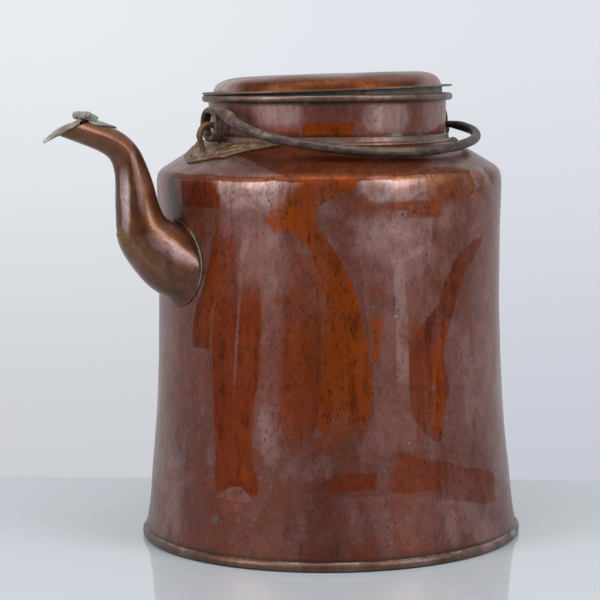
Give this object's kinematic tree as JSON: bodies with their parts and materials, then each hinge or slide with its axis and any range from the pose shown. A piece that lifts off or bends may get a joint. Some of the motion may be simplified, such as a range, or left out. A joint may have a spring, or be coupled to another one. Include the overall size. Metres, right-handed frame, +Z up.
{
  "type": "kettle",
  "caption": "Large lidded copper kettle with a flaring wall, swan-neck spout with a hinged flap, and a swinging iron bail",
  "frame": {"origin": "Centre of the flat underside of the base, which is the plane the kettle stands on", "axes": "+Z up along the vessel's axis, -X towards the spout's mouth, +Y completes the right-handed frame; the bail rests folded towards -Y"},
  "size_m": [0.3642, 0.28, 0.3393],
  "materials": {
    "copper": "patinated copper, semi-gloss",
    "tinned_copper": "worn tinning over copper, dull",
    "tarnished_brass": "dull, tarnished",
    "iron": "forged, dull, lightly rusted"
  },
  "bodies": {
    "kettle": {"base_plate": "copper", "body_wall": "copper", "shoulder": "copper", "neck_collar": "copper", "neck_foot_ring_front": "copper", "neck_foot_ring_back": "copper", "rim_bead": "copper", "spout_bulb": "copper", "spout_neck": "copper", "spout_flange": "copper", "hinge_strap": "tinned_copper", "flap_pin": "tinned_copper", "ear_plate_left": "tarnished_brass", "ear_plate_right": "tarnished_brass", "ear_staple_left": "iron", "ear_staple_right": "iron", "ear_rivet_left_1": "tarnished_brass", "ear_rivet_left_2": "tarnished_brass", "ear_rivet_left_3": "tarnished_brass", "ear_rivet_right_1": "tarnished_brass", "ear_rivet_right_2": "tarnished_brass", "ear_rivet_right_3": "tarnished_brass"},
    "lid": {"lid_pan": "copper", "lid_plug": "copper"},
    "flap": {"spout_flap": "tinned_copper"},
    "bail": {"bail": "iron"}
  },
  "joints": [
    {"name": "bail_swing", "type": "hinge", "parent": "kettle", "child": "bail", "pos_m": [0, 0, 0.3029], "axis": [-1, 0, 0], "range_deg": [0, 190]},
    {"name": "lid_lift", "type": "slide", "parent": "kettle", "child": "lid", "axis": [0, 0, 1], "range_m": [0, 0.02]},
    {"name": "flap_swing", "type": "hinge", "parent": "kettle", "child": "flap", "pos_m": [-0.1952, 0, 0.3112], "axis": [0, 1, 0], "range_deg": [0, 115]}
  ]
}
